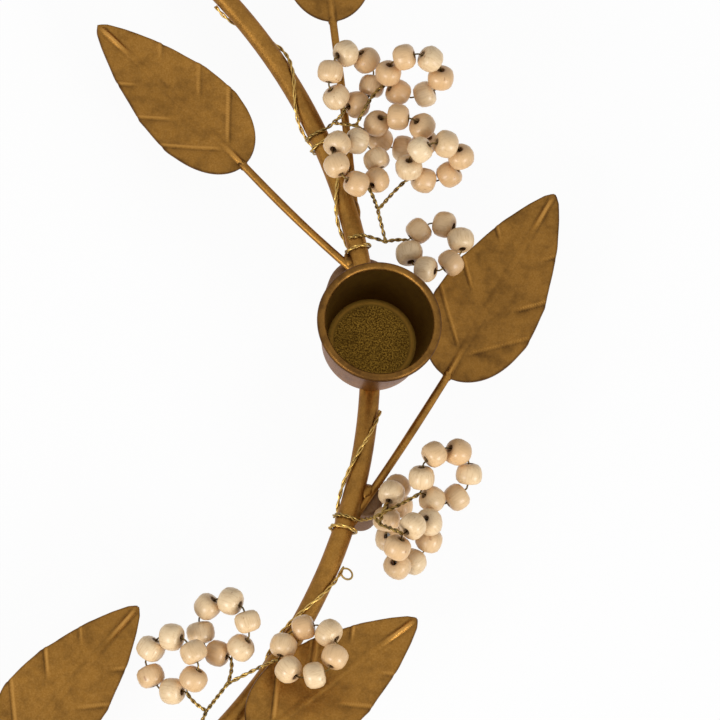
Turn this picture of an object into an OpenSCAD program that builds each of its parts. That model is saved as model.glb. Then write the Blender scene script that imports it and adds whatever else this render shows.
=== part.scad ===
// Candle ring: a round rod on four feet and four small ones carries four candle cups,
// pressed leaves on welded stems, and sprays of wooden beads on twisted wire that winds
// round the rod.
// The origin is on the table, at the middle of the ring. All sizes are in millimetres.

/* [Ring] */
// Diameter of the ring, measured to the middle of the rod
ring_d = 252; // [240:2:300]
// Diameter of the round rod
rod_d = 4.6; // [4:0.2:5.4]
// How deep a weld sinks one piece into the rod
weld = 0.3; // [0.2:0.1:0.5]

/* [Feet] */
// Diameter of a foot
foot_d = 16; // [12:1:18]
// Height of a foot, from the table to the rod
foot_h = 12.3; // [11.5:0.2:20]
// Radius of the rounded shoulder of a foot
foot_shoulder = 2; // [1:0.5:3]
// Diameter of the small foot under the lower leaf stem of each quarter
small_foot_d = 7.4; // [6:0.2:8]

/* [Candle cups] */
// Height of a cup, from the rod to the top of its rim
cup_h = 16.5; // [12:0.5:24]
// Inner diameter of a cup at its mouth
cup_mouth_d = 23.6; // [22:0.1:25]
// Outer diameter of a cup at its base
cup_base_d = 22; // [19:0.5:23]
// Thickness of the cup wall
cup_wall = 1.2; // [0.8:0.1:1.4]
// Thickness of the rolled rim
rim_roll = 1.9; // [1.6:0.1:2.4]
// Thickness of the cup floor
cup_floor = 1.7; // [1.2:0.1:3]
// Width of the raised border round the cup floor
floor_border = 1.8; // [1:0.2:3]
// Depth of the recess inside that border
floor_recess = 0.4; // [0.2:0.1:0.8]

/* [Leaves] */
// Length of a leaf
leaf_l = 46; // [40:1:50]
// Width of a leaf
leaf_w = 21; // [16:1:24]
// Thickness of the leaf sheet
leaf_t = 0.6; // [0.5:0.1:1]
// How far the two halves of a leaf rise from its midrib
leaf_fold = 1.2; // [0:0.2:2]
// How far the tip of a leaf curls down
leaf_droop = 2; // [0:0.5:3]
// Diameter of a leaf stem
stem_d = 1.8; // [1.4:0.1:2.2]

/* [Beads] */
// Diameter of a bead
bead_d = 6; // [5:0.1:6.2]
// Length of a bead along its hole
bead_l = 4.6; // [4:0.1:4.8]
// Diameter of the hole through a bead
bead_hole = 1.7; // [1.5:0.1:2]
// Gap between two beads on one loop
bead_gap = 0.25; // [0.1:0.05:0.4]

/* [Wire] */
// Diameter of the single wire that the beads hang on
wire_d = 0.5; // [0.4:0.1:0.6]
// Diameter of the twisted stalks and tails
twist_d = 0.9; // [0.7:0.1:1]
// Clearance between a wound tail and the rod
wind_gap = 0.12; // [0.1:0.02:0.3]
// Pitch of the tight turn at the root of a spray
root_pitch = 1.5; // [1.4:0.1:2]

/* [Hidden] */
$fn = 64;
quarters = 4;
turn = 360 / quarters;
ring_r = ring_d / 2;
rod_r = rod_d / 2;
rod_z = foot_h + rod_r - weld;
twist_r = twist_d / 2;
stem_r = stem_d / 2;
wind_r = rod_r + twist_r + wind_gap;

// Arc angle on the ring of a length along its rod.
function arc(len) = len / ring_r * 180 / PI;

// The angles on the ring of the first quarter, in degrees.
cup_angle = 2.2;
foot_angle = 8.5;
small_foot_angle = -13.4;

// A small foot stands beside the rod and ends under the leaf stem that is welded there.
small_foot_out = 3.1;
small_foot_h = rod_z - stem_r - 0.5;
small_foot_shoulder = 0.8;

// Beads: a barrel with a round belly, six on a loop.
beads_per_loop = 6;
belly_offset = 0.35;
belly_r = bead_d / 2 - belly_offset;
loop_r = (belly_r + bead_gap / 2) / sin(180 / beads_per_loop) + belly_offset;
loop_slack = 0.2;
loop_wire_r = loop_r + loop_slack;
stalk_end_gap = 0.05;
stalk_end_r = loop_wire_r + wire_d / 2 + stalk_end_gap;
// The loop radius that the sprays were laid out for: their places grow with the loop.
laid_out_loop_r = 5.9;
spread = loop_r / laid_out_loop_r;

// A leaf: angle on the ring, side of the rod, leaf base (out, along, up) from the rod,
// heading from the outward direction, rise to the tip, and its share of leaf_l and leaf_w.
inner_leaf_near = [10.1, -1, [-22, 28.5, -1], 124.8, -2, 1.02, 1];
inner_leaf_turned = [10.1, -1, [-27.5, 31, -1], 132, -2, 1, 1];
outer_leaf_upper = [16.4, 1, [9.2, 45, 0], 80, -1, 1, 1];
outer_leaf_lower = [-15.8, 1, [12.1, 37.9, -1], 77, -2, 1.12, 1.12];
crossing_leaf = [-53, 1, [3.9, 28.5, 4.8], 92.5, -1.5, 1, 1.05];
inner_leaves = [inner_leaf_near, inner_leaf_turned, inner_leaf_near, inner_leaf_turned];
crossing_leaf_quarters = [0, 2];

// A spray: root angle on the ring, turn of its tail at the root, pitch and length of the
// tail, start and end turn of its stalk on the rod, two forks, and three florets.
// Places are (out, along, up) from the rod at the root. A floret: place of its loop,
// azimuth and tilt of the loop's axis, turn of its first bead, and lift of its stalk.
upper_spray = [24.6, 234, 35, 40, 190, 80, [[3.2, 1.8, 4.4], [7, -1.6, 7.5]],
    [[[10.7, 9.1, 6.8], 307, 34, 21, 0],
     [[23.3, 3.5, 10.2], 243, 60, 30, 3],
     [[16.1, -6.4, 5.5], 235, 75, 15, 0]]];
cup_spray = [12.9, 244, 38, 19, 130, 70, [[5.8, -1.4, 4], [5.3, 5.5, 6]],
    [[[16, -5.1, 6], 134, 23, 43, 0],
     [[2.4, 16.2, 9.6], 17, 30, 54, 0],
     [[19.7, 13.3, 9.2], 268, 66, 36, 0]]];
lower_spray = [-16.9, 239, 46, 27, 190, 60, [[5.5, 1.9, 7.4], [7, 0.6, 7.7]],
    [[[17.5, 16.7, 5], 325, 36, 59, 0],
     [[15.4, -0.1, 4], 336, 67, 45, 0],
     [[9.3, 7.2, -2.5], 6, 74, 33, 0]]];
far_spray = [-45, 72, 44, 53, 98, 125, [[-5.2, 7.4, 4], [-6.3, 14.7, 5]],
    [[[-17.5, 8.7, 6], 262, 39, 50, 0],
     [[-15.7, 22.6, 6], 255, 38, 41, 0],
     [[1.2, 31.1, 10.9], 194, 20, 14, 0]]];
sprays = [upper_spray, cup_spray, lower_spray, far_spray];
// The far spray leans out of the ring, not in, in every other quarter.
far_spray_out = [-45, 108, 44, 53, 70, 55, [[5.2, 7.4, 4], [6.3, 14.7, 5]],
    [[[17.5, 8.7, 6], 278, 39, 10, 0],
     [[15.7, 22.6, 6], 285, 38, 19, 0],
     [[-1.2, 31.1, 10.9], 346, 20, 46, 0]]];
spray_names = ["upper", "cup", "lower", "far"];
function spray_of(k, q) = spray_names[k] == "far" && q % 2 == 1 ? far_spray_out : sprays[k];

// Rings and sides of the wires, and turns at the root.
wire_sides = 6;
rings_a_turn = 12;
root_rings = 14;
leg_rings = 5;
root_turns = 1;
// A stalk lies on the rod this far past the tail, then leaves it with this turn and reach.
stalk_seat_gap = 0.6;
leave_turn = 25;
leave_reach = 1.5;
// Straight end of a stalk at its loop, and the room between two stalks in strand widths.
stalk_lead = 3;
fork_room = 1.35;

// The loop of the cup spray in the first quarter whose beads each turn by themselves.
free_quarter = 0;
free_spray = 1;
free_floret = 0;

// Vectors and curves.
function unit(v) = v / norm(v);
function swing(p, tilt, az) =
    let (x = p[0] * cos(tilt) + p[2] * sin(tilt), z = p[2] * cos(tilt) - p[0] * sin(tilt))
    [x * cos(az) - p[1] * sin(az), x * sin(az) + p[1] * cos(az), z];
function curve(a, b, c, d, t) =
    a * pow(1 - t, 3) + 3 * b * t * pow(1 - t, 2) + 3 * c * t * t * (1 - t) + d * pow(t, 3);

// A point on a wire that lies on the rod: distance along the rod and turn round it.
function on_rod(s, turned) =
    let (r = ring_r + wind_r * cos(turned), a = arc(s))
    [r * cos(a) - ring_r, r * sin(a), wind_r * sin(turned)];

// A floret's points: on its loop at a radius, in gap number g or at bead number b.
function floret_point(f, r, angle) =
    f[0] * spread + swing([r * cos(angle), r * sin(angle), 0], f[2], f[1]);
function gap_angle(f, g) = f[3] + (g + 0.5) * 360 / beads_per_loop;
function bead_angle(f, b) = f[3] + b * 360 / beads_per_loop;
function gap_reach(f, from) = [for (g = [0:beads_per_loop - 1])
    norm(floret_point(f, stalk_end_r + stalk_lead, gap_angle(f, g)) - from)];
function near_gap(f, from) = let (reach = gap_reach(f, from)) search(min(reach), reach)[0];

// The paths of a spray's wires, from its root frame.
function tail_path(s) = concat(
    [for (i = [root_rings:-1:1])
        let (t = i / root_rings * root_turns)
        on_rod(-root_pitch * t, s[1] + 360 * t)],
    [for (i = [0:ceil(s[3] / s[2] * rings_a_turn)])
        let (t = i / ceil(s[3] / s[2] * rings_a_turn))
        on_rod(s[3] * t, s[1] - 360 * s[3] * t / s[2])]);
function leg(f, from) =
    let (a = gap_angle(f, near_gap(f, from)),
         end = floret_point(f, stalk_end_r, a),
         lead_l = min(stalk_lead, norm(end - from) / 2),
         lead = floret_point(f, stalk_end_r + lead_l, a) + [0, 0, f[4] / 2],
         climb = from * 2 / 3 + lead / 3 + [0, 0, f[4]])
    [for (i = [1:leg_rings]) curve(from, climb, lead, end, i / leg_rings)];
function stalk_path(s) =
    let (fork = s[6][0] * spread,
         seat = twist_d + stalk_seat_gap,
         leave = on_rod(seat, s[5]),
         ahead = on_rod(seat, s[5] + leave_turn * (s[4] > s[5] ? -1 : 1)))
    concat(
        [for (i = [0:4]) on_rod(seat, s[4] + (s[5] - s[4]) * i / 4)],
        [for (i = [1:3]) curve(leave, leave + (ahead - leave) * leave_reach, fork, fork, i / 3)],
        leg(s[7][0], fork));
function fork_start(s, k, to) =
    s[6][k] * spread + unit(to - s[6][k] * spread) * fork_room * twist_d;
function second_path(s) =
    let (fork = s[6][1] * spread, start = fork_start(s, 0, fork))
    concat([start, (start + fork) / 2, fork], leg(s[7][1], fork));
function third_path(s) =
    let (f = s[7][2], fork = s[6][1] * spread, a = gap_angle(f, near_gap(f, fork)),
         start = fork_start(s, 1, floret_point(f, stalk_end_r + stalk_lead, a)))
    concat([start], leg(f, start));

// A tube swept along a path, its rings turned as little as possible from one to the next.
function heading(p, i) =
    unit(i == 0 ? p[1] - p[0] : i == len(p) - 1 ? p[i] - p[i - 1] : p[i + 1] - p[i - 1]);
function across(v, t) = unit(v - t * (v * t));
function first_side(t) = across(abs(t[2]) < 0.8 ? [0, 0, 1] : [1, 0, 0], t);
function sides_of(p) =
    [for (i = 0, v = first_side(heading(p, 0)); i < len(p);
          i = i + 1, v = i < len(p) ? across(v, heading(p, i)) : v) v];

module tube(path, r) {
    n = len(path);
    side = sides_of(path);
    points = [for (i = [0:n - 1]) for (k = [0:wire_sides - 1])
        let (t = heading(path, i), v = side[i], w = cross(t, v), a = 360 * k / wire_sides)
        path[i] + r * (v * cos(a) + w * sin(a))];
    walls = [for (i = [0:n - 2]) for (k = [0:wire_sides - 1])
        let (a = i * wire_sides + k, b = i * wire_sides + (k + 1) % wire_sides)
        each [[a, b + wire_sides, b], [a, a + wire_sides, b + wire_sides]]];
    ends = [for (k = [1:wire_sides - 2])
        let (z = (n - 1) * wire_sides)
        each [[0, k, k + 1], [z, z + k + 1, z + k]]];
    polyhedron(points, concat(walls, ends), convexity = 10);
}

// Places the children at the rod, at an angle on the ring.
module at_rod(angle) {
    rotate([0, 0, angle]) translate([ring_r, 0, rod_z]) children();
}

module ring_rod() {
    color("peru")
    translate([0, 0, rod_z])
    rotate_extrude($fn = 180)
    translate([ring_r, 0]) circle(r = rod_r);
}

module foot(d, h, shoulder) {
    rotate_extrude() {
        square([d / 2, h - shoulder]);
        square([d / 2 - shoulder, h]);
        translate([d / 2 - shoulder, h - shoulder]) circle(r = shoulder);
    }
}

module feet() {
    color("rosybrown")
    for (q = [0:quarters - 1]) {
        rotate([0, 0, foot_angle + turn * q])
        translate([ring_r, 0, 0])
        foot(foot_d, foot_h, foot_shoulder);
        rotate([0, 0, small_foot_angle + turn * q])
        translate([ring_r + small_foot_out, 0, 0])
        foot(small_foot_d, small_foot_h, small_foot_shoulder);
    }
}

module candle_cup(q) {
    base_r = cup_base_d / 2;
    floor_r = base_r - cup_wall;
    mouth_r = cup_mouth_d / 2;
    roll_r = rim_roll / 2;
    height = cup_h + weld;
    shoulder_z = height - roll_r;
    corner = 1;
    color("peru")
    rotate([0, 0, cup_angle + turn * q])
    translate([ring_r, 0, rod_z + rod_r - weld])
    rotate_extrude() {
        polygon([
            [0, 0], [base_r - corner, 0], [base_r, corner], [mouth_r + cup_wall, shoulder_z],
            [mouth_r, shoulder_z], [floor_r, cup_floor], [floor_r - floor_border, cup_floor],
            [floor_r - floor_border, cup_floor - floor_recess], [0, cup_floor - floor_recess]
        ]);
        translate([base_r - corner, corner]) circle(r = corner);
        translate([mouth_r + roll_r, shoulder_z]) circle(r = roll_r);
    }
}

// Half the width of a leaf at a share t of its length, before leaf_w is applied.
function leaf_outline(t) = sqrt(t) * (1 - t) / (2 / 3 * sqrt(1 / 3));

module leaf(spec) {
    stations = [0, 0.04, 0.12, 0.25, 0.4, 0.55, 0.7, 0.85, 0.95, 1];
    strips = [-1, -0.5, 0, 0.5, 1];
    n = len(stations);
    m = len(strips);
    long = leaf_l * spec[5];
    half_w = leaf_w * spec[6] / 2;
    tip_w = 0.5;
    least_w = [stem_r, tip_w];
    points = [for (face = [1, -1]) for (t = stations) for (u = strips)
        let (w = max(half_w * leaf_outline(t), t < 0.5 ? least_w[0] : least_w[1]))
        [long * t, w * u,
         spec[4] * t + leaf_fold * u * u * w / half_w - leaf_droop * t * t + face * leaf_t / 2]];
    function top(i, k) = i * m + k;
    function low(i, k) = n * m + i * m + k;
    faces = concat(
        [for (i = [0:n - 2]) for (k = [0:m - 2]) each [
            [top(i, k), top(i, k + 1), top(i + 1, k + 1)],
            [top(i, k), top(i + 1, k + 1), top(i + 1, k)],
            [low(i, k), low(i + 1, k + 1), low(i, k + 1)],
            [low(i, k), low(i + 1, k), low(i + 1, k + 1)]]],
        [for (i = [0:n - 2]) each [
            [top(i, 0), top(i + 1, 0), low(i + 1, 0)], [top(i, 0), low(i + 1, 0), low(i, 0)],
            [top(i, m - 1), low(i + 1, m - 1), top(i + 1, m - 1)],
            [top(i, m - 1), low(i, m - 1), low(i + 1, m - 1)]]],
        [for (k = [0:m - 2]) each [
            [top(0, k), low(0, k + 1), top(0, k + 1)], [top(0, k), low(0, k), low(0, k + 1)],
            [top(n - 1, k), top(n - 1, k + 1), low(n - 1, k + 1)],
            [top(n - 1, k), low(n - 1, k + 1), low(n - 1, k)]]]);
    color("peru")
    at_rod(spec[0])
    translate(spec[2])
    rotate([0, 0, spec[3]])
    polyhedron(points, faces, convexity = 6);
}

module leaf_node(spec, q) {
    rotate([0, 0, turn * q]) leaf(spec);
}

// A straight round stem from inside the rod to just under the base of its leaf.
module stem(spec) {
    sunk = 0.54;
    drop = 0.2;
    start = [spec[1] * (rod_r - weld - sunk), 0, 0];
    end = spec[2] - [0, 0, drop];
    way = end - start;
    at_rod(spec[0])
    translate(start)
    rotate([0, acos(way[2] / norm(way)), atan2(way[1], way[0])])
    cylinder(r = stem_r, h = norm(way) + stem_r);
}

module inner_stems() {
    color("peru")
    for (q = [0:quarters - 1]) rotate([0, 0, turn * q]) stem(inner_leaves[q]);
}

module outer_stems() {
    color("peru") {
        for (q = [0:quarters - 1])
        rotate([0, 0, turn * q]) {
            stem(outer_leaf_upper);
            stem(outer_leaf_lower);
        }
        for (q = crossing_leaf_quarters) rotate([0, 0, turn * q]) stem(crossing_leaf);
    }
}

module at_floret(f) {
    translate(f[0] * spread) rotate([0, f[2], f[1]]) children();
}

module bead(f, b) {
    at_floret(f)
    rotate([0, 0, bead_angle(f, b)])
    translate([loop_r, 0, 0])
    rotate([90, 0, 0])
    rotate_extrude()
    intersection() {
        translate([bead_hole / 2, -bead_l / 2]) square([bead_d, bead_l]);
        translate([belly_offset, 0]) circle(r = belly_r);
    }
}

module spray_wires(s) {
    tube(tail_path(s), twist_r);
    tube(stalk_path(s), twist_r);
    tube(second_path(s), twist_r);
    tube(third_path(s), twist_r);
    for (f = s[7])
    at_floret(f)
    rotate_extrude()
    translate([loop_wire_r, 0]) circle(r = wire_d / 2);
}

module spray_node(k, q) {
    s = spray_of(k, q);
    color("goldenrod") rotate([0, 0, turn * q]) at_rod(s[0]) spray_wires(s);
}

module bead_node(k, q) {
    s = spray_of(k, q);
    color("burlywood")
    rotate([0, 0, turn * q])
    at_rod(s[0])
    for (i = [0:2])
    if (!(k == free_spray && q == free_quarter && i == free_floret))
    for (b = [0:beads_per_loop - 1]) bead(s[7][i], b);
}

module turning_bead(b) {
    color("burlywood")
    rotate([0, 0, turn * free_quarter])
    at_rod(sprays[free_spray][0])
    bead(sprays[free_spray][7][free_floret], b);
}

// The least gap between two points of one winding that are over a half turn apart.
function winding_gap(s) =
    let (p = tail_path(s))
    min([for (i = [0:len(p) - 1]) for (j = [i + 1:1:len(p) - 1])
        if (j - i > rings_a_turn / 2) norm(p[i] - p[j]) - twist_d]);
echo(least_gap_of_each_winding = [for (s = concat(sprays, [far_spray_out])) winding_gap(s)]);

ring_rod();
feet();
inner_stems();
outer_stems();
for (q = [1:quarters]) {
    candle_cup(q - 1);
    leaf_node(inner_leaves[q - 1], q - 1);
    leaf_node(outer_leaf_upper, q - 1);
    leaf_node(outer_leaf_lower, q - 1);
}
for (i = [0:len(crossing_leaf_quarters) - 1])
leaf_node(crossing_leaf, crossing_leaf_quarters[i]);
for (k = [0:len(sprays) - 1]) for (q = [1:quarters]) {
    spray_node(k, q - 1);
    bead_node(k, q - 1);
}
for (b = [1:beads_per_loop])
turning_bead(b - 1);
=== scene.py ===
import math
import random
from collections import namedtuple

import bmesh
import bpy
from mathutils import Matrix, Vector, noise


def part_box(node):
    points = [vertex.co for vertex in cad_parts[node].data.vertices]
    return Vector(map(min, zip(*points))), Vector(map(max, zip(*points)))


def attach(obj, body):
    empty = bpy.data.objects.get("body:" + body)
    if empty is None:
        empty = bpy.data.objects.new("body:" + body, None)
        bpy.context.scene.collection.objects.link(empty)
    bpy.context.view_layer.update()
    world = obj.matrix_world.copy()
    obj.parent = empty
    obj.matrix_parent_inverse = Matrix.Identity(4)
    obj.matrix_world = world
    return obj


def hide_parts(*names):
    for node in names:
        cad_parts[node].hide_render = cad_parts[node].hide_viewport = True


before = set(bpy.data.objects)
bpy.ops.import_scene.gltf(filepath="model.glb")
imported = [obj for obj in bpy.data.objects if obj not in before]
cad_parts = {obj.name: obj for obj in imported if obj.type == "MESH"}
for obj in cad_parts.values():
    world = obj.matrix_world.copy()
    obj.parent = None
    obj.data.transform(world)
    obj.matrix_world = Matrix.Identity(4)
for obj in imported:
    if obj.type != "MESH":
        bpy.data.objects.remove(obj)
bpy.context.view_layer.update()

bl_info = {
    "name": "Candle Ring",
    "version": (1, 0, 0),
    "blender": (4, 5, 0),
    "location": "3D View > Sidebar > Candle Ring",
    "description": "Leaves, beads, wires and finishes of a candle ring on its packed frame",
    "category": "Object",
}

MM = 0.001
QUARTERS = 4
QUARTER_TURN = 90.0
SEED = 11

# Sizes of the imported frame, from the boxes of its own nodes.
ROD_LOW, ROD_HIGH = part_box("ring_rod")
CUP_LOW, CUP_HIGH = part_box("candle_cup_1")
ROD_THICK = ROD_HIGH[2] - ROD_LOW[2]
RING_WIDE = ROD_HIGH[0] - ROD_LOW[0] - ROD_THICK
ROD_HEIGHT = (ROD_HIGH[2] + ROD_LOW[2]) / 2

CUP_ANGLE = 2.2
CUP_CORNER = 1 * MM
CUP_BORDER = 0.95 * MM
BORDER_SLOPE = 0.5 * MM
BORDER_STEP = 0.25 * MM
LEAF_FOLD = 1.2 * MM
LEAF_DROOP = 2 * MM
LEAF_BEND = 0.35 * MM
BEAD_ROUNDING = 1.75 * MM

# A leaf: its node, stem piece, quarter, angle on the ring, side of the rod, place of its base as
# (out, along, up) from the rod, heading from the outward direction, rise, and share of length and width.
Leaf = namedtuple("Leaf", "node stems quarter angle side base heading rise length width")
INNER_NEAR = (10.1, -1, (-22, 28.5, -1), 124.8, -2, 1.02, 1)
INNER_TURNED = (10.1, -1, (-27.5, 31, -1), 132, -2, 1, 1)
OUTER_UPPER = (16.4, 1, (9.2, 45, 0), 80, -1, 1, 1)
OUTER_LOWER = (-15.8, 1, (12.1, 37.9, -1), 77, -2, 1.12, 1.12)
CROSSING = (-53, 1, (3.9, 28.5, 4.8), 92.5, -1.5, 1, 1.05)
LEAVES = (
    [Leaf(f"inner_leaf_{q + 1}", "inner_stems", q, *(INNER_NEAR, INNER_TURNED)[q % 2])
     for q in range(QUARTERS)]
    + [Leaf(f"outer_leaf_upper_{q + 1}", "outer_stems", q, *OUTER_UPPER) for q in range(QUARTERS)]
    + [Leaf(f"outer_leaf_lower_{q + 1}", "outer_stems", q, *OUTER_LOWER) for q in range(QUARTERS)]
    + [Leaf(f"crossing_leaf_{i + 1}", "outer_stems", 2 * i, *CROSSING) for i in range(2)]
)

# A spray: root angle on the ring, turn, pitch and length of its tail, start and end turn of its
# stalk on the rod, two forks and three florets. A floret: middle of its loop, azimuth and tilt of
# the loop's axis, turn of its first bead and lift of its stalk. Places are (out, along, up) in mm.
Floret = namedtuple("Floret", "place azimuth tilt first_bead lift")
Spray = namedtuple("Spray", "name root tail_turn tail_pitch tail_length stalk_from stalk_to forks florets")
SPRAYS = (
    Spray("upper", 24.6, 234, 35, 40, 190, 80, ((3.2, 1.8, 4.4), (7, -1.6, 7.5)), (
        Floret((10.7, 9.1, 6.8), 307, 34, 21, 0),
        Floret((23.3, 3.5, 10.2), 243, 60, 30, 3),
        Floret((16.1, -6.4, 5.5), 235, 75, 15, 0))),
    Spray("cup", 12.9, 244, 38, 19, 130, 70, ((5.8, -1.4, 4), (5.3, 5.5, 6)), (
        Floret((16, -5.1, 6), 134, 23, 43, 0),
        Floret((2.4, 16.2, 9.6), 17, 30, 54, 0),
        Floret((19.7, 13.3, 9.2), 268, 66, 36, 0))),
    Spray("lower", -16.9, 239, 46, 27, 190, 60, ((5.5, 1.9, 7.4), (7, 0.6, 7.7)), (
        Floret((17.5, 16.7, 5), 325, 36, 59, 0),
        Floret((15.4, -0.1, 4), 336, 67, 45, 0),
        Floret((9.3, 7.2, -2.5), 6, 74, 33, 0))),
    Spray("far", -45, 72, 44, 53, 98, 125, ((-5.2, 7.4, 4), (-6.3, 14.7, 5)), (
        Floret((-17.5, 8.7, 6), 262, 39, 50, 0),
        Floret((-15.7, 22.6, 6), 255, 38, 41, 0),
        Floret((1.2, 31.1, 10.9), 194, 20, 14, 0))),
)
FAR_SPRAY_OUT = Spray("far", -45, 108, 44, 53, 70, 55, ((5.2, 7.4, 4), (6.3, 14.7, 5)), (
    Floret((17.5, 8.7, 6), 278, 39, 10, 0),
    Floret((15.7, 22.6, 6), 285, 38, 19, 0),
    Floret((-1.2, 31.1, 10.9), 346, 20, 46, 0)))
BEADS_PER_LOOP = 6
FREE_SPRAY = "cup"
SEAT_ALONG = 1.5 * MM
ROOT_PITCH = 1.5 * MM
STALK_LEAD = 3 * MM


def placed_sprays():
    """Every spray with its quarter and a number of its own; the far one leans out in odd quarters."""
    for number, spray in enumerate(SPRAYS):
        for quarter in range(QUARTERS):
            leans_out = spray.name == "far" and quarter % 2 == 1
            yield FAR_SPRAY_OUT if leans_out else spray, quarter, number * QUARTERS + quarter


def length_property(name, description, default, least):
    return bpy.props.FloatProperty(
        name=name, description=description, default=default, min=least, unit="LENGTH")


class CandleRingSizes(bpy.types.PropertyGroup):
    ring_width: length_property(
        "Ring width", "Diameter of the ring, to the middle of the rod", RING_WIDE, 0.1)
    rod_thickness: length_property("Rod thickness", "Diameter of the round rod", ROD_THICK, 0.001)
    rod_height: length_property(
        "Rod height", "Height of the middle of the rod above the table", ROD_HEIGHT, 0.005)
    cup_base: length_property("Cup base", "Outer diameter of a candle cup at its base", 22 * MM, 0.01)
    cup_mouth: length_property("Cup mouth", "Inner diameter of a candle cup at its mouth", 23.6 * MM, 0.01)
    cup_wall: length_property("Cup wall", "Thickness of the wall of a candle cup", 1.2 * MM, 0.0003)
    cup_floor: length_property("Cup floor", "Thickness of the floor of a candle cup", 1.7 * MM, 0.0003)
    rim_roll: length_property("Rolled rim", "Thickness of the rolled rim of a candle cup", 1.9 * MM, 0.0005)
    leaf_length: length_property("Leaf length", "Length of a leaf from its stem to its tip", 46 * MM, 0.01)
    leaf_width: length_property("Leaf width", "Greatest width of a leaf", 21 * MM, 0.005)
    leaf_sheet: length_property("Leaf sheet", "Thickness of the pressed sheet of a leaf", 0.5 * MM, 0.0001)
    vein_height: length_property("Vein height", "Height of the veins pressed into a leaf", 0.22 * MM, 0)
    stem_thickness: length_property("Stem thickness", "Diameter of a leaf stem", 1.8 * MM, 0.0005)
    bead_width: length_property("Bead width", "Diameter of a wooden bead", 6 * MM, 0.002)
    bead_length: length_property("Bead length", "Length of a wooden bead along its hole", 4.6 * MM, 0.001)
    bead_hole: length_property("Bead hole", "Diameter of the hole through a bead", 1.7 * MM, 0.0005)
    strand: length_property("Wire", "Diameter of a single strand of wire", 0.46 * MM, 0.0001)
    stalk_twist: length_property(
        "Stalk twist", "Length of one full twist of the two strands on a stalk", 3.2 * MM, 0.001)
    tail_twist: length_property(
        "Tail twist", "Length of one full twist of the two strands on a tail", 5.4 * MM, 0.001)


def colour_property(name, description, default):
    return bpy.props.FloatVectorProperty(
        name=name, description=description, subtype="COLOR", size=3, min=0, max=1, default=default)


def from_screen(red, green, blue):
    """A colour given in screen values from 0 to 255, as the linear values that shaders take."""
    def linear(value):
        share = value / 255
        return share / 12.92 if share <= 0.04045 else ((share + 0.055) / 1.055) ** 2.4
    return tuple(linear(value) for value in (red, green, blue))


class CandleRingColours(bpy.types.PropertyGroup):
    gold: colour_property("Antique gold", "Main colour of the painted metal", from_screen(148, 104, 44))
    # The speckle colour is also the base of the painted highlights on leaf ridges.
    gold_light: colour_property("Gold speckle", "Light speckle in the gold paint", from_screen(182, 136, 72))
    # The patina colour also paints shade in leaf creases, on leaf margins and on the cup rims.
    patina_and_shade: colour_property("Patina", "Dark colour in creases and welds", from_screen(88, 60, 28))
    # Painted shade: the darker colour of the inside of the cups.
    cup_inside_shade: colour_property("Cup inside", "Colour inside the candle cups", from_screen(112, 86, 32))
    # Painted shade: the grey-brown that the feet show in the shade under the rod and cups.
    foot_in_shade: colour_property("Foot", "Colour of the feet", from_screen(124, 98, 76))
    wire: colour_property("Wire", "Colour of the twisted wire", from_screen(196, 160, 88))
    wire_dark: colour_property("Dark wire", "Tarnish on the twisted wire", from_screen(96, 78, 44))
    wood: colour_property("Wood", "Middle tone of the beads", from_screen(227, 195, 150))
    wood_pale: colour_property("Pale wood", "Palest tone of the beads", from_screen(235, 209, 168))
    wood_warm: colour_property("Warm wood", "Warmest tone of the beads", from_screen(217, 176, 126))
    floor: colour_property("Floor", "Colour of the table and backdrop", (0.9, 0.9, 0.9))


# Placing and finishing of pieces.

def rotation(axis, degrees, size=4):
    return Matrix.Rotation(math.radians(degrees), size, axis)


def clamp(value, low=0, high=1):
    return min(high, max(low, value))


def bell(distance, width):
    """1 at no distance, falling smoothly to nothing at about twice the width."""
    return math.exp(-(distance / width) ** 2)


def add_attribute(obj, name, values):
    """Gives every vertex of a piece a number that its material reads."""
    obj.data.attributes.new(name, "FLOAT", "POINT").data.foreach_set("value", values)


def deselect_all():
    if bpy.context.mode != "OBJECT":
        bpy.ops.object.mode_set(mode="OBJECT")
    bpy.ops.object.select_all(action="DESELECT")


def pick(*objects):
    """Selects these objects alone, the first of them active."""
    deselect_all()
    for obj in objects:
        obj.select_set(True)
    bpy.context.view_layer.objects.active = objects[0]


def select_in_edit(obj, kind, wanted):
    """In edit mode, selects the faces or edges for which wanted(element) is true."""
    bpy.context.tool_settings.mesh_select_mode = (False, kind == "EDGE", kind == "FACE")
    mesh = bmesh.from_edit_mesh(obj.data)
    mesh.select_mode = {kind}
    for group in (mesh.verts, mesh.edges, mesh.faces):
        for element in group:
            element.select = False
    for element in mesh.edges if kind == "EDGE" else mesh.faces:
        if wanted(element):
            element.select_set(True)
    mesh.select_flush_mode()
    bmesh.update_edit_mesh(obj.data)


def finish_piece(obj, name, body, nodes, materials, smooth_angle=40):
    """Names a piece, gives it its materials and finish, and lets it stand for its frame nodes."""
    pick(obj)
    bpy.ops.object.transform_apply(location=True, rotation=True, scale=True)
    if smooth_angle:
        bpy.ops.object.shade_smooth_by_angle(angle=math.radians(smooth_angle))
    obj.name = name
    obj.data.name = name
    chosen = [face.material_index for face in obj.data.polygons]
    obj.data.materials.clear()
    for material in materials:
        obj.data.materials.append(material)
    obj.data.polygons.foreach_set("material_index", chosen)
    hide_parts(*nodes)
    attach(obj, body)
    return obj


def join(pieces):
    pick(*pieces)
    if len(pieces) > 1:
        bpy.ops.object.join()
    return bpy.context.view_layer.objects.active


def at_rod(sizes, angle):
    """Turns (out, along, up) from the rod, at an angle on the ring, into the shared frame."""
    outward = Matrix.Translation((sizes.ring_width / 2, 0, sizes.rod_height))
    return rotation("Z", angle) @ outward


def move_mesh(obj, place):
    obj.data.transform(place)
    obj.data.update()


# Materials.

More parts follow.
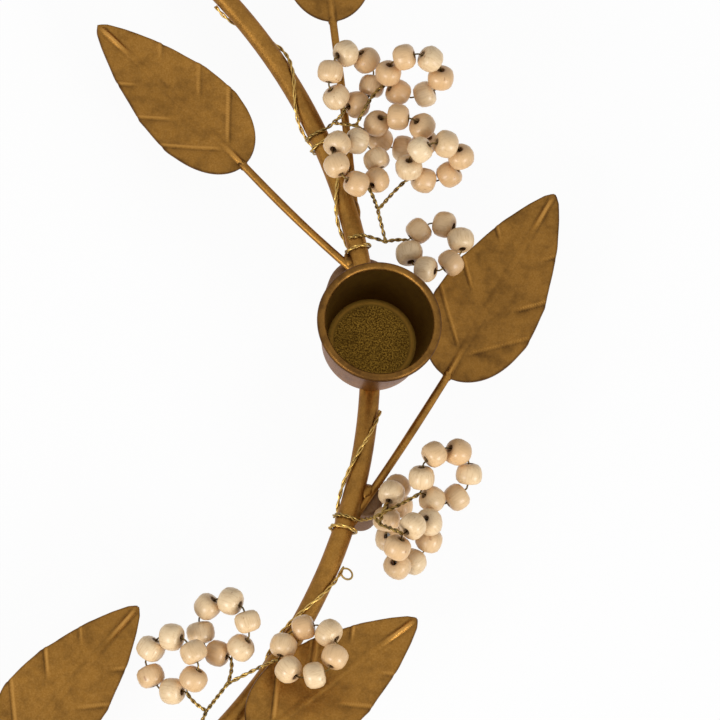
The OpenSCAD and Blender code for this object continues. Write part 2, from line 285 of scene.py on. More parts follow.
class Paint:
    """Builds the nodes of one material, in columns from left to right."""

    def __init__(self, name):
        self.material = bpy.data.materials.new(name)
        self.material.use_nodes = True
        self.tree = self.material.node_tree
        self.shader = self.tree.nodes["Principled BSDF"]
        self.place = self.add("ShaderNodeTexCoord").outputs["Object"]

    def add(self, kind, **settings):
        node = self.tree.nodes.new(kind)
        for key, value in settings.items():
            setattr(node, key, value)
        count = len(self.tree.nodes)
        node.location = (-1400 + 190 * (count % 7), 420 - 210 * (count // 7))
        return node

    def link(self, start, end):
        self.tree.links.new(start, end)

    def give(self, socket, value):
        self.link(value, self.shader.inputs[socket])

    def attribute(self, name, output="Fac"):
        return self.add("ShaderNodeAttribute", attribute_name=name).outputs[output]

    def grain(self, scale, detail=3, roughness=0.55, vector=None, stretch=None):
        """A noise pattern. scale is in features a metre, and stretch scales its axes first."""
        vector = vector or self.place
        if stretch:
            mapping = self.add("ShaderNodeMapping")
            mapping.inputs["Scale"].default_value = stretch
            self.link(vector, mapping.inputs["Vector"])
            vector = mapping.outputs["Vector"]
        node = self.add("ShaderNodeTexNoise")
        node.inputs["Scale"].default_value = scale
        node.inputs["Detail"].default_value = detail
        node.inputs["Roughness"].default_value = roughness
        self.link(vector, node.inputs["Vector"])
        return node.outputs["Fac"]

    def spread(self, value, low, high, start=0, end=1):
        """Stretches the part of a value between low and high to run from start to end."""
        node = self.add("ShaderNodeMapRange", clamp=True)
        for socket, number in (("From Min", low), ("From Max", high), ("To Min", start), ("To Max", end)):
            node.inputs[socket].default_value = number
        self.link(value, node.inputs["Value"])
        return node.outputs["Result"]

    def sum(self, operation, first, second):
        node = self.add("ShaderNodeMath", operation=operation, use_clamp=True)
        for socket, value in zip(node.inputs, (first, second)):
            if isinstance(value, (int, float)):
                socket.default_value = value
            else:
                self.link(value, socket)
        return node.outputs["Value"]

    def mix(self, share, first, second):
        """Mixes two colours, each a fixed colour or another node's."""
        node = self.add("ShaderNodeMix", data_type="RGBA")
        self.link(share, node.inputs["Factor"])
        for socket, value in ((node.inputs[6], first), (node.inputs[7], second)):
            if hasattr(value, "links"):
                self.link(value, socket)
            else:
                socket.default_value = (*value, 1)
        return node.outputs[2]

    def tint(self, colour, level):
        return tuple(min(1.0, level * part) for part in colour)

    def bump(self, height, strength, distance):
        node = self.add("ShaderNodeBump")
        node.inputs["Strength"].default_value = strength
        node.inputs["Distance"].default_value = distance
        self.link(height, node.inputs["Height"])
        self.give("Normal", node.outputs["Normal"])

    def set(self, **values):
        for key, value in values.items():
            socket = self.shader.inputs[key.replace("_", " ").title().replace("Ior", "IOR")]
            socket.default_value = (*value, 1) if isinstance(value, tuple) else value


def painted_metal(name, base, light, patina_and_shade, speckle=0.55, roughness=(0.36, 0.52)):
    """Metal under antique gold paint: speckle, clouds and patina on welds, with painted shade in creases and
    painted highlights on ridges.
    """
    paint = Paint(name)
    fine = paint.spread(paint.grain(2600, detail=5, roughness=0.7), 0.42, 0.68)
    cloud = paint.spread(paint.grain(75, detail=4), 0.4, 0.72)
    mottle = paint.spread(paint.grain(330, detail=4, roughness=0.65), 0.44, 0.7)
    marks = paint.attribute("patina_and_shade")
    colour = paint.mix(paint.sum("MULTIPLY", fine, speckle), base, light)
    wear_and_shade = paint.sum("ADD", paint.sum("MULTIPLY", cloud, 0.26), paint.sum("MULTIPLY", mottle, 0.42))
    # Positive marks mix toward the dark colour: patina on welds, and painted shade in leaf creases, on leaf
    # margins and on the cup rims.
    colour = paint.mix(paint.sum("ADD", wear_and_shade, marks), colour, patina_and_shade)
    # Negative marks mix toward the light colour: painted highlights on leaf ridges and a lighter border on
    # the cup floors.
    colour = paint.mix(paint.sum("MULTIPLY", marks, -0.8), colour, paint.tint(light, 1.35))
    paint.give("Base Color", colour)
    paint.give("Roughness", paint.spread(fine, 0, 1, *roughness))
    paint.bump(fine, 0.22, 0.00006)
    paint.set(metallic=1.0, specular_tint=(0.86, 0.74, 0.74))
    return paint.material


def speckled_metal(name, colours):
    """The bottom of a candle cup, where the paint has dried in dark grains; its dark overall tone is painted
    shade.
    """
    paint = Paint(name)
    grains = paint.spread(paint.grain(2700, detail=3, roughness=0.75), 0.43, 0.58)
    cloud = paint.spread(paint.grain(140, detail=3), 0.42, 0.7)
    colour = paint.mix(grains, from_screen(74, 50, 14), paint.tint(colours.cup_inside_shade, 2.1))
    colour = paint.mix(paint.sum("MULTIPLY", cloud, 0.6), colour, from_screen(74, 52, 16))
    paint.give("Base Color", colour)
    paint.bump(grains, 0.35, 0.00005)
    paint.set(metallic=1.0, roughness=0.55)
    return paint.material


def brass_wire(name, colours):
    paint = Paint(name)
    patches = paint.spread(paint.grain(260, detail=3), 0.46, 0.68)
    tarnish = paint.sum("ADD", paint.attribute("tarnish"), paint.sum("MULTIPLY", patches, 0.5))
    fine = paint.grain(4200, detail=3)
    colour = paint.mix(tarnish, colours.wire, colours.wire_dark)
    paint.give("Base Color", colour)
    paint.give("Roughness", paint.spread(fine, 0.3, 0.7, 0.26, 0.42))
    paint.bump(fine, 0.15, 0.00003)
    paint.set(metallic=1.0)
    return paint.material


def bead_wood(name, colours):
    """Pale turned wood: each bead has its own tone, with fine grain along its hole and small knots."""
    paint = Paint(name)
    along = paint.attribute("grain_place", "Vector")
    tone = paint.attribute("tone")
    colour = paint.mix(paint.spread(tone, 0, 0.6), colours.wood_warm, colours.wood)
    colour = paint.mix(paint.spread(tone, 0.5, 1), colour, colours.wood_pale)
    lines = paint.spread(paint.grain(1900, 4, 0.65, along, (1, 1, 0.16)), 0.48, 0.74)
    colour = paint.mix(paint.sum("MULTIPLY", lines, 0.65), colour, paint.tint(colours.wood_warm, 0.76))
    stains = paint.spread(paint.grain(420, 3, 0.6, along), 0.5, 0.75)
    colour = paint.mix(paint.sum("MULTIPLY", stains, 0.35), colour, paint.tint(colours.wood_warm, 0.8))
    knots = paint.spread(paint.grain(800, 1, 0.5, along), 0.72, 0.8)
    colour = paint.mix(paint.sum("MULTIPLY", knots, 0.6), colour, from_screen(150, 96, 60))
    # Painted shade round the mouth of each bead's hole.
    colour = paint.mix(paint.attribute("hole_shade"), colour, from_screen(120, 80, 46))
    paint.give("Base Color", colour)
    paint.give("Roughness", paint.spread(lines, 0, 1, 0.32, 0.5))
    paint.bump(lines, 0.16, 0.00004)
    return paint.material


def bead_hole(name):
    """Dark brown inside the hole of a bead: painted shade in the narrow hole."""
    paint = Paint(name)
    rough = paint.grain(1600, 3)
    colour = paint.mix(rough, from_screen(84, 52, 26), from_screen(128, 84, 46))
    paint.give("Base Color", colour)
    paint.set(roughness=0.8)
    return paint.material


# Pieces.

def ring_shape(sizes):
    bpy.ops.mesh.primitive_torus_add(
        major_segments=360, minor_segments=28, major_radius=sizes.ring_width / 2,
        minor_radius=sizes.rod_thickness / 2, location=(0, 0, sizes.rod_height))
    rod = bpy.context.object
    pick(rod)
    bpy.ops.object.transform_apply(location=True, rotation=True, scale=True)
    for vertex in rod.data.vertices:
        middle = Vector((vertex.co.x, vertex.co.y, 0)).normalized() * (sizes.ring_width / 2)
        middle.z = sizes.rod_height
        away = vertex.co - middle
        wave = noise.noise(middle * 55) * 0.006 + noise.noise(vertex.co * 300) * 0.005
        vertex.co = middle + away * (0.992 + wave)
    return rod


def cup_shape(sizes):
    """A candle cup drawn up from a disc: walls, inner floor with a raised border, and a rolled rim."""
    base, mouth = sizes.cup_base / 2, sizes.cup_mouth / 2
    wall, roll = sizes.cup_wall, sizes.rim_roll / 2
    bottom, top = CUP_LOW[2], CUP_HIGH[2] - roll
    bpy.ops.mesh.primitive_cylinder_add(
        vertices=96, radius=base, depth=top - bottom, location=(0, 0, (top + bottom) / 2))
    cup = bpy.context.object
    pick(cup)
    bpy.ops.object.transform_apply(location=True, rotation=True, scale=True)
    bpy.ops.object.mode_set(mode="EDIT")

    def resize(share):
        bpy.ops.transform.resize(value=(share, share, 1))

    def top_face(face):
        return len(face.verts) > 4 and face.calc_center_median().z > (top + bottom) / 2

    select_in_edit(cup, "FACE", top_face)
    resize((mouth + wall) / base)
    bpy.ops.mesh.inset(thickness=wall)
    inner_base = base - wall
    bpy.ops.mesh.extrude_region_move(
        TRANSFORM_OT_translate={"value": (0, 0, bottom + sizes.cup_floor - top)})
    resize(inner_base / mouth)
    bpy.ops.mesh.inset(thickness=CUP_BORDER)
    bpy.ops.mesh.inset(thickness=BORDER_SLOPE)
    bpy.ops.transform.translate(value=(0, 0, -BORDER_STEP))
    select_in_edit(cup, "EDGE", lambda e: all(
        abs(v.co.z - bottom) < 1e-6 and abs(v.co.xy.length - base) < 1e-5 for v in e.verts))
    bpy.ops.mesh.bevel(offset=CUP_CORNER, segments=6, profile=0.5)
    bpy.ops.object.mode_set(mode="OBJECT")
    bpy.ops.mesh.primitive_torus_add(
        major_segments=96, minor_segments=20, major_radius=mouth + roll, minor_radius=roll,
        location=(0, 0, top))
    rim = bpy.context.object
    pick(rim)
    bpy.ops.object.transform_apply(location=True, rotation=True, scale=True)
    cup = join([cup, rim])
    low = bottom + sizes.cup_floor
    # Faces inside the cup take the darker paints of painted shade: the walls and border, and the floor.
    for face in cup.data.polygons:
        reach, height = face.center.xy.length, face.center.z
        inner = inner_base + (mouth - inner_base) * (height - low) / (top - low)
        painted_shade_inside = bottom + 0.1 * MM < height < top and reach < inner
        face.material_index = 2 if painted_shade_inside and len(face.vertices) > 4 else int(painted_shade_inside)
    # Painted shade on the outer half of the rolled rim, darkest outward; the border of the floor is painted
    # lighter and the rest of the cup a little darker.
    wear_and_shade = []
    for vertex in cup.data.vertices:
        reach, height = vertex.co.xy.length, vertex.co.z
        on_rim = height > top - roll * 1.01 and reach > mouth - 0.01 * MM
        on_border = abs(height - low) < 0.05 * MM and reach < inner_base - 0.5 * MM
        outward = clamp((reach - mouth) / (2 * roll))
        wear_and_shade.append(0.3 + 0.5 * outward if on_rim else -0.4 if on_border else 0.2)
    add_attribute(cup, "patina_and_shade", wear_and_shade)
    return cup


def leaf_outline(share):
    """Half the width of a leaf at a share of its length, as a share of its greatest half width."""
    body = math.sqrt(share) * (1 - share) / 0.385
    left = 1 - share
    tip = 0.075 * math.sqrt(min(1.0, left / 0.03)) * clamp((share - 0.6) / 0.3)
    return body + tip


VEINS = (0.1, 0.33, 0.57, 0.8)
VEIN_SLOPE = 1.0


def leaf_shape(sizes, leaf, luck):
    """A pressed sheet leaf: a fold along its midrib, slanting veins, soft bends and a small round tip."""
    long = sizes.leaf_length * leaf.length
    half = sizes.leaf_width * leaf.width / 2
    stem = sizes.stem_thickness / 2
    bpy.ops.mesh.primitive_grid_add(x_subdivisions=132, y_subdivisions=52, size=1)
    sheet = bpy.context.object
    bend = [luck.uniform(-1, 1) for _ in range(4)]
    starts = [[vein + luck.uniform(-0.025, 0.025) for vein in VEINS] for _ in (0, 1)]
    depths = [[luck.uniform(0.6, 1.25) for _ in VEINS] for _ in (0, 1)]
    # The outer lower leaves are painted darker all over.
    leaf_darkening = 0.2 if leaf.node.startswith("outer_leaf_lower") else 0.02
    light_share, first_fold = (0.3, 0.45) if leaf.node.startswith("outer_leaf_upper") else (1, 1)
    patina_and_shade = []
    for vertex in sheet.data.vertices:
        share = clamp(vertex.co.x + 0.5)
        across = 2 * vertex.co.y
        width = leaf_outline(share)
        side = 0 if across > 0 else 1
        ends = [start + 0.8 * half / long for start in starts[side]]
        corners = sum(bell(share - end, 0.035) for end in ends)
        width = max(half * width * (1 + 0.018 * corners), stem if share < 0.5 else 0.1 * MM)
        x, y = long * share, width * across
        reach = abs(y)
        height = leaf.rise * MM * share + LEAF_FOLD * across * across * width / half
        height -= LEAF_DROOP * share * share
        crease, shade = 0.0, 0.0
        for order, (start, depth) in enumerate(zip(starts[side], depths[side])):
            away = (x - start * long - reach * VEIN_SLOPE) / math.sqrt(1 + VEIN_SLOPE ** 2)
            inner = 1.2 * MM if order == 0 else (0.25 + 0.2 * depth) * half
            fade = clamp((reach - inner) / (1.8 * MM) + 0.3) * clamp((width - reach) / (0.5 * MM) + 0.6)
            fade *= first_fold if order == 0 else 1
            crease += 1.1 * light_share * depth * fade * bell(away, 0.3 * MM)
            crease -= 0.8 * depth * fade * bell(away + 0.62 * MM, 0.36 * MM)
            # Painted shade: a dark line on the low side of each vein crease, and a broad soft painted shadow
            # beyond it.
            shade += 1.15 * depth * fade * bell(away + 0.55 * MM, 0.26 * MM)
            shade += 0.35 * depth * fade * bell(away + 1.1 * MM, 0.9 * MM)
            # A painted highlight: a light line along the high side of each vein crease.
            shade -= 1.3 * light_share * depth * fade * bell(away - 0.08 * MM, 0.24 * MM)
        pillow = math.sin((share - 0.8 * reach / long) / 0.235 * math.tau)
        ridge = 0.35 + 1.3 * bell(share, 0.11) + 1.25 * bell(share - 0.9, 0.09)
        ridge *= min(1, (1 - share) / 0.04) * (0.5 + 0.5 * light_share)
        midrib = ridge * bell(reach, 0.42 * MM)
        groove = 0.35 * ridge * bell(reach - 0.95 * MM, 0.4 * MM)
        pillow = 0.22 * pillow * min(1, reach / half * 2)
        height += sizes.vein_height * (crease + 1.5 * midrib - groove + pillow)
        bowed = bend[0] * math.sin(3.1 * share + bend[1] * 3) + bend[2] * across * math.sin(2.4 * share)
        height += LEAF_BEND * bowed
        height += 0.12 * MM * noise.noise(Vector((x * 130, y * 130, 7 * bend[3])))
        vertex.co = Vector((x, y, height))
        # Colour marks of the leaf: painted shade and highlights from its veins, patina at its welded base,
        # and the darker tone of the outer lower leaves.
        wear_and_shade = 0.45 * shade + 0.3 * bell(share, 0.05) + leaf_darkening
        # Painted shade in the grooves beside the midrib.
        wear_and_shade += 0.35 * bell(reach - 0.8 * MM, 0.3 * MM) * min(1, ridge)
        # A painted highlight along the raised midrib.
        wear_and_shade -= 0.7 * bell(reach, 0.32 * MM) * max(0, ridge - 0.5)
        # Painted shade along the margin, for the shaded cut edge of the sheet.
        wear_and_shade += 0.6 * bell(width - reach, 0.3 * MM)
        patina_and_shade.append(clamp(wear_and_shade, -1))
    add_attribute(sheet, "patina_and_shade", patina_and_shade)
    pick(sheet)
    solid = sheet.modifiers.new("Sheet", "SOLIDIFY")
    solid.thickness = sizes.leaf_sheet
    solid.offset = 0
    bpy.ops.object.modifier_apply(modifier=solid.name)
    place = at_rod(sizes, leaf.angle + QUARTER_TURN * leaf.quarter)
    place = place @ Matrix.Translation(Vector(leaf.base) * MM)
    move_mesh(sheet, place @ rotation("Z", leaf.heading))
    return sheet


def tubes(paths, radius, sides=1, shares=None):
    """Round tubes along paths of points, as one mesh. shares scales the radius at each point."""
    curve = bpy.data.curves.new("tubes", "CURVE")
    curve.dimensions = "3D"
    curve.bevel_depth = radius
    curve.bevel_resolution = sides
    curve.use_fill_caps = True
    for path in paths:
        spline = curve.splines.new("POLY")
        spline.points.add(len(path) - 1)
        spline.points.foreach_set("co", [number for point in path for number in (*point, 1)])
        if shares:
            spline.points.foreach_set("radius", shares)
    obj = bpy.data.objects.new("tubes", curve)
    bpy.context.scene.collection.objects.link(obj)
    pick(obj)
    bpy.ops.object.convert(target="MESH")
    return bpy.context.object


def weld_blob(place, along, length, thick, luck):
    """A lump of weld metal, drawn out along a direction."""
    bpy.ops.mesh.primitive_uv_sphere_add(segments=28, ring_count=16, radius=1, location=(0, 0, 0))
    blob = bpy.context.object
    shift = Vector([luck.uniform(-9, 9) for _ in range(3)])
    for vertex in blob.data.vertices:
        vertex.co *= 1 + 0.16 * noise.noise(vertex.co * 1.6 + shift)
    turn = along.to_track_quat("Z", "Y").to_matrix().to_4x4()
    size = Matrix.Diagonal((thick / 2, thick / 2, length / 2, 1))
    move_mesh(blob, Matrix.Translation(place) @ turn @ size)
    add_attribute(blob, "patina_and_shade", [
        clamp(0.35 + 1.1 * noise.noise(vertex.co * 700 + shift)) for vertex in blob.data.vertices])
    return blob


def stem_shape(sizes, leaf, luck):
    """A stem from its weld on the rod to under the base of its leaf, a little bowed as if bent by hand."""
    place = at_rod(sizes, leaf.angle + QUARTER_TURN * leaf.quarter)
    radius, rod = sizes.stem_thickness / 2, sizes.rod_thickness / 2
    start = Vector((leaf.side * (rod - 0.3 * MM - radius * 0.6), 0, 0))
    end = Vector(leaf.base) * MM + Vector((0, 0, -0.2 * MM))
    way = (end - start).normalized()
    heading = rotation("Z", leaf.heading, 3) @ Vector((1, 0, 0))
    tip = end + heading * 3.4 * MM - Vector((0, 0, 0.45 * MM))
    bow = Vector((-way.y, way.x, 0)) * luck.uniform(-0.5, 0.5) * MM
    path, shares = [], []
    steps = 24
    for step in range(steps + 1):
        t = step / steps
        path.append(place @ (start.lerp(end, t) + bow * math.sin(math.pi * t)))
        shares.append(1.0 + 0.02 * math.sin(11 * t + luck.random()))
    for step in (1, 2, 3):
        path.append(place @ end.lerp(tip, step / 3))
        shares.append((0.95, 0.75, 0.3)[step - 1])
    stem = tubes([path], radius, sides=6, shares=shares)
    lean = math.atan2(abs(way.x), way.y)
    meet = (rod + radius / math.cos(lean) - abs(start.x)) / math.tan(lean)
    web = Vector((leaf.side * (rod + 0.2 * MM), meet + 0.1 * MM, 0))
    along = (way + Vector((0, 1, 0))).normalized()
    turned = place.to_3x3()
    blobs = [
        weld_blob(place @ (start + way * 0.6 * MM), turned @ along, 6.4 * MM, 2.5 * MM, luck),
        weld_blob(place @ web, turned @ along, 3.6 * MM, 2.5 * MM, luck),
        weld_blob(place @ (end + heading * 0.3 * MM - Vector((0, 0, 0.15 * MM))), turned @ heading,
                  3.0 * MM, 2.1 * MM, luck),
    ]
    return [stem, *blobs]


# Wires.

def on_rod(sizes, along, turned, radius):
    """A point beside the rod, from the root of a spray: distance along the rod and turn round it."""
    ring = sizes.ring_width / 2
    reach = ring + radius * math.cos(math.radians(turned))
    angle = along / ring
    up = radius * math.sin(math.radians(turned))
    return Vector((reach * math.cos(angle) - ring, reach * math.sin(angle), up))


def bezier(a, b, c, d, t):
    return a * (1 - t) ** 3 + 3 * b * t * (1 - t) ** 2 + 3 * c * t * t * (1 - t) + d * t ** 3


def loop_radius(sizes):
    offset = 0.35 * MM
    belly = sizes.bead_width / 2 - offset
    return (belly + 0.125 * MM) / math.sin(math.pi / BEADS_PER_LOOP) + offset


def wire_radius(sizes):
    return loop_radius(sizes) + 0.2 * MM


def stalk_end(sizes):
    return wire_radius(sizes) + 0.3 * MM


def floret_turn(floret):
    lean = rotation("Y", floret.tilt)
    return rotation("Z", floret.azimuth) @ lean


def floret_place(floret):
    return Matrix.Translation(Vector(floret.place) * MM) @ floret_turn(floret)


def floret_point(floret, radius, angle):
    turned = math.radians(angle)
    return floret_place(floret) @ Vector((radius * math.cos(turned), radius * math.sin(turned), 0))


def gap_angle(floret, gap):
    return floret.first_bead + (gap + 0.5) * 360 / BEADS_PER_LOOP


def near_gap(sizes, floret, start):
    """The angle of the gap between two beads of a floret that is nearest to a stalk's start."""
    radius = stalk_end(sizes) + STALK_LEAD
    return min((gap_angle(floret, gap) for gap in range(BEADS_PER_LOOP)),
               key=lambda angle: (floret_point(floret, radius, angle) - start).length)


def leg(sizes, floret, start):
    angle = near_gap(sizes, floret, start)
    end = floret_point(floret, stalk_end(sizes) + 0.5 * MM, angle)
    lead_length = min(STALK_LEAD, (end - start).length / 2)
    lift = Vector((0, 0, floret.lift * MM))
    lead = floret_point(floret, stalk_end(sizes) + lead_length, angle) + lift / 2
    climb = start * 2 / 3 + lead / 3 + lift
    return [bezier(start, climb, lead, end, t / 12) for t in range(1, 13)]


def wind_radius(sizes):
    return sizes.rod_thickness / 2 + 0.57 * MM


def tail_path(sizes, spray):
    radius = wind_radius(sizes)
    root = [on_rod(sizes, -ROOT_PITCH * t / 30, spray.tail_turn + 12 * t, radius) for t in range(30, 0, -1)]
    steps = math.ceil(spray.tail_length / spray.tail_pitch * 36)
    length, pitch = spray.tail_length * MM, spray.tail_pitch * MM
    return root + [
        on_rod(sizes, length * t / steps, spray.tail_turn - 360 * length * t / steps / pitch, radius)
        for t in range(steps + 1)]


def stalk_path(sizes, spray):
    radius = wind_radius(sizes)
    fork = Vector(spray.forks[0]) * MM
    turns = [spray.stalk_from + (spray.stalk_to - spray.stalk_from) * t / 10 for t in range(11)]
    leave = on_rod(sizes, SEAT_ALONG, spray.stalk_to, radius)
    lead = -25 if spray.stalk_from > spray.stalk_to else 25
    ahead = on_rod(sizes, SEAT_ALONG, spray.stalk_to + lead, radius)
    rise = [bezier(leave, leave + (ahead - leave) * 1.5, fork, fork, t / 8) for t in range(1, 9)]
    seat = [on_rod(sizes, SEAT_ALONG, turn, radius) for turn in turns]
    return seat + rise + leg(sizes, spray.florets[0], fork)


def second_path(sizes, spray):
    start, fork = (Vector(place) * MM for place in spray.forks)
    return [start.lerp(fork, t / 6) for t in range(7)] + leg(sizes, spray.florets[1], fork)


def third_path(sizes, spray):
    start = Vector(spray.forks[1]) * MM
    return [start] + leg(sizes, spray.florets[2], start)


def even_steps(points, step):
    """The same path with its points about one step apart."""
    marks = [0.0]
    for a, b in zip(points, points[1:]):
        marks.append(marks[-1] + (b - a).length)
    count = max(4, round(marks[-1] / step))
    even, at = [], 0
    for i in range(count + 1):
        wanted = marks[-1] * i / count
        while at < len(points) - 2 and marks[at + 1] < wanted:
            at += 1
        share = (wanted - marks[at]) / max(1e-9, marks[at + 1] - marks[at])
        even.append(points[at].lerp(points[at + 1], share))
    return even


def twisted(sizes, points, pitch, luck):
    """The two strands of a pair twisted along a path, with the small unevenness of hand twisting."""
    path = even_steps(points, pitch / 11)
    step = (path[1] - path[0]).length
    offset = sizes.strand / 2 * 1.02
    turned = luck.uniform(0, math.tau)
    side = Vector((0.31, 0.2, 0.93))
    strands = ([], [])
    for i, point in enumerate(path):
        ahead = (path[min(i + 1, len(path) - 1)] - path[max(i - 1, 0)]).normalized()
        side = (side - ahead * side.dot(ahead)).normalized()
        turned += math.tau * step / pitch * (1 + 0.35 * noise.noise(point * 260))
        open_share = 1 + 0.22 * noise.noise(point * 330 + Vector((5, 0, 0)))
        away = (side * math.cos(turned) + ahead.cross(side) * math.sin(turned)) * offset * open_share
        strands[0].append(point + away)
        strands[1].append(point - away)
    return strands


def loop_wire(sizes, floret, angle, luck):
    """The single wire through the beads of a floret, open at the gap where its stalk begins."""
    radius = wire_radius(sizes)
    path = []
    lead = ((1.0, 0.2), (0.45, 3.0), (0.1, 7.0))
    for extra, spread in lead:
        path.append(floret_point(floret, radius + extra * MM, angle + spread))
    for turned in range(12, 349, 4):
        from_gap = (turned + 30) % 60 - 30
        bulge = 0.22 * bell(from_gap, 6)
        path.append(floret_point(floret, radius + bulge * luck.uniform(0.8, 1.2) * MM, angle + turned))
    for extra, spread in reversed(lead):
        path.append(floret_point(floret, radius + extra * MM, angle - spread))
    return path


def end_ring(tail):
    """The small open ring beside the rod where the wire of a tail was folded back."""
    middle = tail[-1] + Vector((1.6, -0.5, 0.1)) * MM
    points = [(tail[-3] + tail[-1]) / 2]
    for turned in range(-170, 171, 14):
        angle = math.radians(turned)
        points.append(middle + Vector((1.35 * math.cos(angle), 1.1 * math.sin(angle), 0)) * MM)
    return points


def spray_wires(sizes, spray, quarter, luck):
    tail = tail_path(sizes, spray)
    stalks = [stalk_path(sizes, spray), second_path(sizes, spray), third_path(sizes, spray)]
    starts = [Vector(spray.forks[0]) * MM, Vector(spray.forks[1]) * MM, Vector(spray.forks[1]) * MM]
    tail_strands = list(twisted(sizes, tail, sizes.tail_twist, luck))
    if spray.name == "far":
        tail_strands.append(end_ring(tail))
    stalk_strands = [strand for stalk in stalks for strand in twisted(sizes, stalk, sizes.stalk_twist, luck)]
    loops = [loop_wire(sizes, floret, near_gap(sizes, floret, start), luck)
             for floret, start in zip(spray.florets, starts)]
    parts = []
    for paths, radius, tarnish in ((tail_strands, 0.5, 0.05), (stalk_strands, 0.5, 0.45), (loops, 0.42, 0.8)):
        part = tubes(paths, sizes.strand * radius)
        add_attribute(part, "tarnish", [tarnish] * len(part.data.vertices))
        parts.append(part)
    wires = join(parts)
    move_mesh(wires, at_rod(sizes, spray.root + QUARTER_TURN * quarter))
    return wires


# Beads.

def turned_bead(sizes):
    """One bead, its hole along Z: a short cylinder, bored through and rounded off at both ends."""
    outer, hole, half = sizes.bead_width / 2, sizes.bead_hole / 2, sizes.bead_length / 2
    bpy.ops.mesh.primitive_cylinder_add(vertices=16, radius=outer, depth=2 * half, location=(0, 0, 0))
    bead = bpy.context.object
    pick(bead)
    bpy.ops.object.mode_set(mode="EDIT")
    select_in_edit(bead, "FACE", lambda f: len(f.verts) > 4)
    bpy.ops.mesh.inset(thickness=outer - hole)
    bpy.ops.mesh.bridge_edge_loops()
    select_in_edit(bead, "EDGE", lambda e: e.verts[0].co.z == e.verts[1].co.z and all(
        abs(v.co.xy.length - outer) < 1e-5 for v in e.verts))
    bpy.ops.mesh.bevel(offset=BEAD_ROUNDING, segments=3, profile=0.5)
    bpy.ops.object.mode_set(mode="OBJECT")
    for face in bead.data.polygons:
        face.material_index = 1 if face.center.xy.length < hole * 1.05 else 0
    return bead


def own_bead(pattern, place, luck, loose):
    """A copy of the turned bead with its own size, lumps, tone and grain, set at its place."""
    bead = pattern.copy()
    bead.data = pattern.data.copy()
    bpy.context.scene.collection.objects.link(bead)
    width, length = luck.uniform(0.98, 1.03), luck.uniform(0.99, 1.05)
    lumps = [(order, luck.uniform(0, 0.034), luck.uniform(0, math.tau)) for order in (2, 3, 4)]
    taper, tone = luck.uniform(-0.05, 0.05), luck.random()
    shift = Vector([luck.uniform(-1, 1) for _ in range(3)])
    grain, hole_shade = [], []
    for vertex in bead.data.vertices:
        point = vertex.co
        # Painted shade at the mouth of the hole: darkest on its rim, fading across the end face.
        hole_shade.append(0.5 if point.xy.length < 0.9 * MM else 0.12 if point.xy.length < 1.4 * MM else 0.0)
        turned = math.atan2(point.y, point.x)
        grain += [*(point + shift)]
        share = width * (1 + sum(size * math.cos(order * turned + start) for order, size, start in lumps))
        share *= 1 - abs(taper) + taper * point.z / 0.0023
        vertex.co = Vector((point.x * share, point.y * share, point.z * length))
    bead.data.attributes.new("grain_place", "FLOAT_VECTOR", "POINT").data.foreach_set("vector", grain)
    add_attribute(bead, "tone", [tone] * len(bead.data.vertices))
    add_attribute(bead, "hole_shade", hole_shade)
    lean = Matrix.Identity(4)
    if loose:
        lean = rotation("X", luck.uniform(-5, 5))
        lean = rotation("Y", luck.uniform(-5, 5)) @ lean
    spin = Matrix.Rotation(luck.uniform(0, math.tau), 4, "Z")
    bead.matrix_world = Matrix.Identity(4)
    move_mesh(bead, place @ lean @ spin)
    return bead


def bead_place(sizes, spray, quarter, floret, number):
    """The place of a bead on its loop, its hole along the loop."""
    angle = floret.first_bead + number * 360 / BEADS_PER_LOOP
    place = at_rod(sizes, spray.root + QUARTER_TURN * quarter) @ floret_place(floret)
    place = place @ rotation("Z", angle)
    return place @ Matrix.Translation((loop_radius(sizes), 0, 0)) @ rotation("X", 90)


# Operators.

class CandleRingOperator:
    bl_options = {"REGISTER", "UNDO"}

    def gold(self, context):
        colours = context.scene.candle_ring_colours
        return bpy.data.materials.get("antique gold") or painted_metal(
            "antique gold", colours.gold, colours.gold_light, colours.patina_and_shade)


class CANDLE_RING_OT_rod(CandleRingOperator, bpy.types.Operator):
    """Make the round rod of the ring, with the slight waves of hand bending"""
    bl_idname = "candle_ring.rod"
    bl_label = "Rod"

    def execute(self, context):
        rod = ring_shape(context.scene.candle_ring_sizes)
        finish_piece(rod, "rod", "ring", ["ring_rod"], [self.gold(context)], 60)
        return {"FINISHED"}


class CANDLE_RING_OT_feet(CandleRingOperator, bpy.types.Operator):
    """Give the feet of the frame a duller paint whose grey-brown is painted shade, for the shade under the
    rod and cups
    """
    bl_idname = "candle_ring.feet"
    bl_label = "Feet"

    def execute(self, context):
        colours = context.scene.candle_ring_colours
        # The grey-brown colour of the feet is painted shade.
        shaded_foot_paint = painted_metal("foot metal", colours.foot_in_shade, colours.gold, colours.patina_and_shade, 0.3, (0.5, 0.66))
        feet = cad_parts["feet"]
        for slot in feet.material_slots:
            slot.material = shaded_foot_paint
        return {"FINISHED"}


